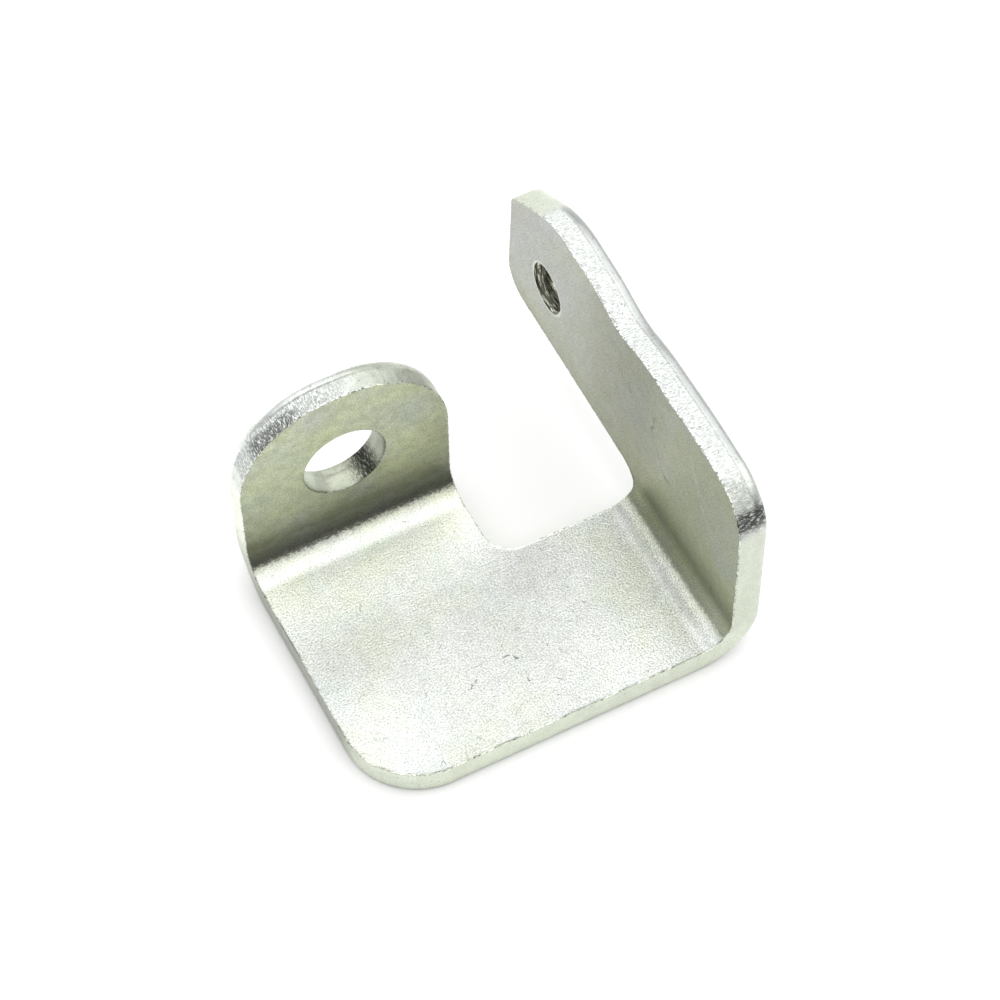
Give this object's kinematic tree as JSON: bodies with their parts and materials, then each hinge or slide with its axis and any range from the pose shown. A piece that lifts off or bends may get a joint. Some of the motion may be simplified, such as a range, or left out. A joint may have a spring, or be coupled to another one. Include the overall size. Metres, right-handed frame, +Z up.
{
  "type": "folded sheet metal bracket",
  "caption": "Small folded zinc-plated steel bracket with a flat base, a round-topped ear with a plain hole and an arm with a tapped hole.",
  "frame": {"origin": "under the middle of the bounding box, on the plane of the base's underside", "axes": "+Z up from the base, +Y back along the arm towards its tip, +X across the base towards the arm's outer face"},
  "size_m": [0.04, 0.0454, 0.0261],
  "materials": {
    "zinc_plated_steel": "bright zinc plate over rolled sheet, with a satin face and bright sheared edges"
  },
  "bodies": {
    "root": {"bracket": "zinc_plated_steel"}
  },
  "joints": []
}
